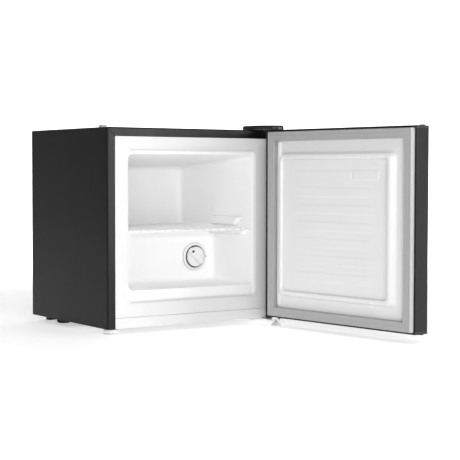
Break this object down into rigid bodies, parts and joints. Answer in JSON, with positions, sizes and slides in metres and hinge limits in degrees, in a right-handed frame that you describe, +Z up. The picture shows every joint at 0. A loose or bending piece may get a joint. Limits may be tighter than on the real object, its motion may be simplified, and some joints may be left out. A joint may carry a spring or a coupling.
{
  "type": "compact upright freezer",
  "caption": "Compact table-top upright freezer with a hinged insulated door standing open, a wire shelf, a thermostat dial and a rear compressor bay.",
  "frame": {"origin": "bottom centre of the whole object's box with the door standing open: the floor plane under the feet is z = 0", "axes": "+Z up; the cabinet front faces -Y and +Y runs from front to back; +X is to the right seen from the front, the side of the door hinge"},
  "size_m": [0.532, 0.9018, 0.4963],
  "materials": {
    "casing": "satin",
    "black_plastic": "satin",
    "white_liner": "satin",
    "white_plastic": "satin",
    "gasket": "matte",
    "cap_grey": "matte",
    "black_rubber": "matte",
    "zinc_steel": "satin",
    "galvanised": "satin",
    "compressor_paint": "satin",
    "copper": "satin",
    "evaporator": "satin",
    "foam": "matte",
    "shelf_wire": "gloss"
  },
  "bodies": {
    "cabinet": {"outer_wrap": "casing", "back_panel": "galvanised", "machine_room_wall": "galvanised", "base_pan": "galvanised", "kick_panel": "white_plastic", "inner_liner": "white_liner", "cabinet_insulation": "foam", "compressor_plate": "casing", "compressor": "compressor_paint", "compressor_grommet_1": "black_rubber", "compressor_grommet_2": "black_rubber", "compressor_grommet_3": "black_rubber", "compressor_grommet_4": "black_rubber", "compressor_relay_cover": "black_plastic", "filter_drier": "copper", "discharge_pipe": "copper", "suction_pipe": "copper", "process_pipe": "copper", "capillary_tube": "copper", "condenser_coil": "zinc_steel", "evaporator_coil": "evaporator", "cord_bracket": "zinc_steel", "cord_gland": "black_plastic", "thermostat_body": "white_plastic", "dial_escutcheon": "white_plastic", "upper_hinge_plate": "zinc_steel", "upper_hinge_pin": "zinc_steel", "upper_hinge_screw_1": "zinc_steel", "upper_hinge_screw_2": "zinc_steel", "upper_hinge_screw_3": "zinc_steel", "upper_hinge_cover": "black_plastic", "lower_hinge_bracket": "zinc_steel", "lower_hinge_pin": "zinc_steel", "lower_hinge_screw_1": "zinc_steel", "lower_hinge_screw_2": "zinc_steel", "lower_hinge_screw_3": "zinc_steel", "spare_hole_cover": "cap_grey", "rear_left_foot": "black_rubber", "rear_right_foot": "black_rubber"},
    "door": {"door_skin": "casing", "door_top_cap": "black_plastic", "door_bottom_cap": "black_plastic", "door_liner": "white_liner", "door_insulation": "foam", "door_gasket": "gasket", "upper_bushing": "white_plastic", "lower_bushing": "white_plastic", "spare_hole_plug": "black_plastic", "lower_hole_plug": "black_plastic"},
    "shelf": {"wire_shelf": "shelf_wire"},
    "dial": {"thermostat_knob": "white_plastic"},
    "left_foot": {"front_left_foot": "white_plastic"},
    "right_foot": {"front_right_foot": "white_plastic"}
  },
  "joints": [
    {"name": "door_hinge", "type": "hinge", "parent": "cabinet", "child": "door", "pos_m": [0.20046, 0.01586, 0.25], "axis": [0, 0, 1], "range_deg": [-96.4, 23.6]},
    {"name": "shelf_slide", "type": "slide", "parent": "cabinet", "child": "shelf", "axis": [0, -1, 0], "range_m": [0, 0.015]},
    {"name": "thermostat_turn", "type": "hinge", "parent": "cabinet", "child": "dial", "pos_m": [0.08846, 0.22586, 0.163], "axis": [0, 1, 0], "range_deg": [-135, 135]},
    {"name": "front_left_foot_turn", "type": "hinge", "parent": "cabinet", "child": "left_foot", "pos_m": [-0.23904, 0.09186, 0.005], "axis": [0, 0, 1], "range_deg": [-180, 180]},
    {"name": "front_right_foot_turn", "type": "hinge", "parent": "cabinet", "child": "right_foot", "pos_m": [0.18896, 0.01586, 0.005], "axis": [0, 0, 1], "range_deg": [-180, 180]}
  ]
}
